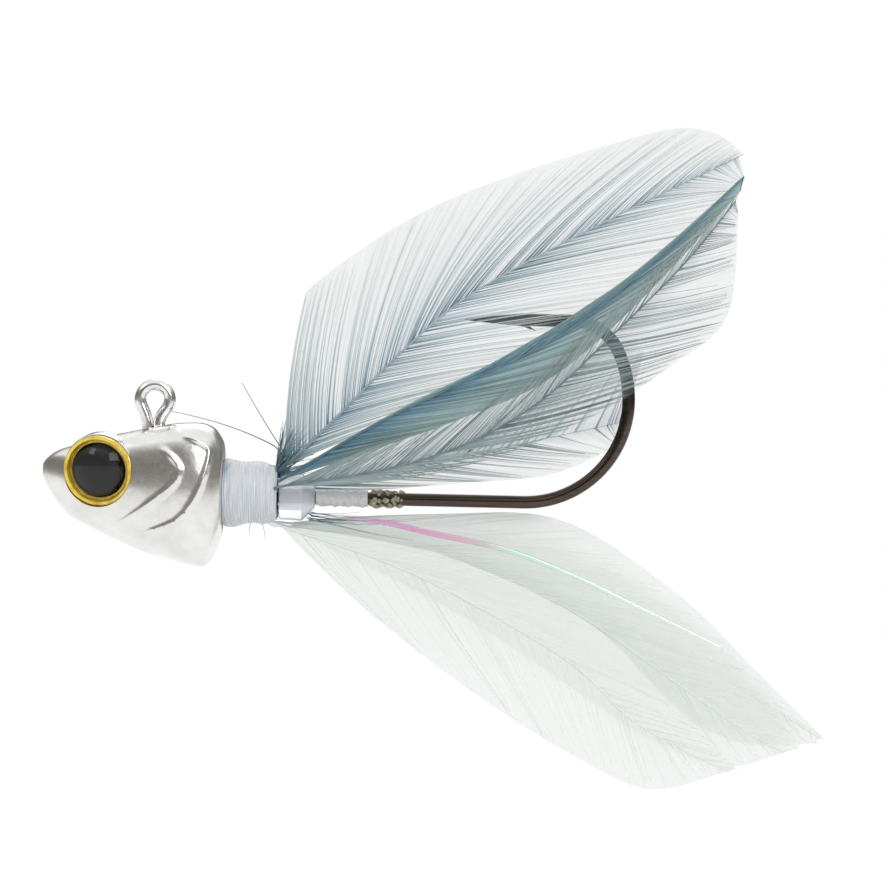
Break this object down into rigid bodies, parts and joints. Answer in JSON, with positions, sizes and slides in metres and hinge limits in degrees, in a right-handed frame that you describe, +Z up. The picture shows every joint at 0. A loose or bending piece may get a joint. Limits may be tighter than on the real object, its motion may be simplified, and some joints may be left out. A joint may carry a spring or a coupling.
{
  "type": "feathered jig lure",
  "caption": "Fishing jig: a fish-shaped weighted head on a right-angle jig hook, with domed eyes and blue and white hackles bound behind it.",
  "frame": {"origin": "centre of the hole in the hook's line eye, where the line holds the lure", "axes": "+X along the hook's shank, from the nose towards the bend; +Z up, away from the chin; +Y to the lure's right. The hook lies in the plane y = 0, and the line eye's hole runs along Y."},
  "size_m": [0.0792, 0.0106, 0.0658],
  "materials": {
    "head_lacquer": "metallic silver lacquer",
    "hook_nickel": "black nickel, silver round the eye",
    "eye_foil": "printed gold foil",
    "eye_pupil": "gloss black",
    "eye_dome": "clear resin",
    "thread": "waxed white thread",
    "quill": "bare feather quill",
    "clear_plastic": "clear plastic",
    "glue": "set clear glue",
    "hackle_blue": "dyed feather, satin",
    "hackle_blue_dark": "dyed feather, satin",
    "hackle_white": "white feather, satin",
    "flash_film": "iridescent film"
  },
  "bodies": {
    "lure": {"jig_head": "head_lacquer", "hook": "hook_nickel", "eye_foil_left": "eye_foil", "eye_foil_right": "eye_foil", "eye_pupil_left": "eye_pupil", "eye_pupil_right": "eye_pupil", "eye_dome_left": "eye_dome", "eye_dome_right": "eye_dome", "thread_wrap": "thread", "feather_butts": "quill", "flare_cone": "clear_plastic", "shank_thread": "thread", "glue_beads": "glue", "loose_barbs": "hackle_blue_dark"},
    "blue_wide_body": {"hackle_blue_wide": "hackle_blue"},
    "blue_folded_body": {"hackle_blue_folded": "hackle_blue_dark"},
    "blue_near_body": {"hackle_blue_near": "hackle_blue"},
    "blue_far_body": {"hackle_blue_far": "hackle_blue"},
    "white_lower_body": {"hackle_white_lower": "hackle_white"},
    "white_middle_body": {"hackle_white_middle": "hackle_white"},
    "white_upper_body": {"hackle_white_upper": "hackle_white"},
    "flash_body": {"flash_strand": "flash_film"}
  },
  "joints": [
    {"name": "blue_wide_flex", "type": "hinge", "parent": "lure", "child": "blue_wide_body", "pos_m": [0.013, 0, -0.0066], "axis": [0, 1, 0], "range_deg": [-10, 12], "stiffness_Nm_per_rad": 0.001},
    {"name": "blue_folded_flex", "type": "hinge", "parent": "lure", "child": "blue_folded_body", "pos_m": [0.013, 0, -0.0075], "axis": [0, 1, 0], "range_deg": [-10, 12], "stiffness_Nm_per_rad": 0.001},
    {"name": "blue_near_flex", "type": "hinge", "parent": "lure", "child": "blue_near_body", "pos_m": [0.013, 0, -0.0083], "axis": [0, 1, 0], "range_deg": [-10, 12], "stiffness_Nm_per_rad": 0.001},
    {"name": "blue_far_flex", "type": "hinge", "parent": "lure", "child": "blue_far_body", "pos_m": [0.013, 0, -0.0088], "axis": [0, 1, 0], "range_deg": [-10, 12], "stiffness_Nm_per_rad": 0.001},
    {"name": "white_lower_flex", "type": "hinge", "parent": "lure", "child": "white_lower_body", "pos_m": [0.013, 0, -0.0121], "axis": [0, 1, 0], "range_deg": [-8, 12], "stiffness_Nm_per_rad": 0.001},
    {"name": "white_middle_flex", "type": "hinge", "parent": "lure", "child": "white_middle_body", "pos_m": [0.013, 0, -0.0121], "axis": [0, 1, 0], "range_deg": [-8, 12], "stiffness_Nm_per_rad": 0.001},
    {"name": "white_upper_flex", "type": "hinge", "parent": "lure", "child": "white_upper_body", "pos_m": [0.013, 0, -0.0121], "axis": [0, 1, 0], "range_deg": [-8, 12], "stiffness_Nm_per_rad": 0.001},
    {"name": "flash_flex", "type": "hinge", "parent": "lure", "child": "flash_body", "pos_m": [0.013, 0, -0.0112], "axis": [0, 1, 0], "range_deg": [-8, 12], "stiffness_Nm_per_rad": 0.001}
  ]
}
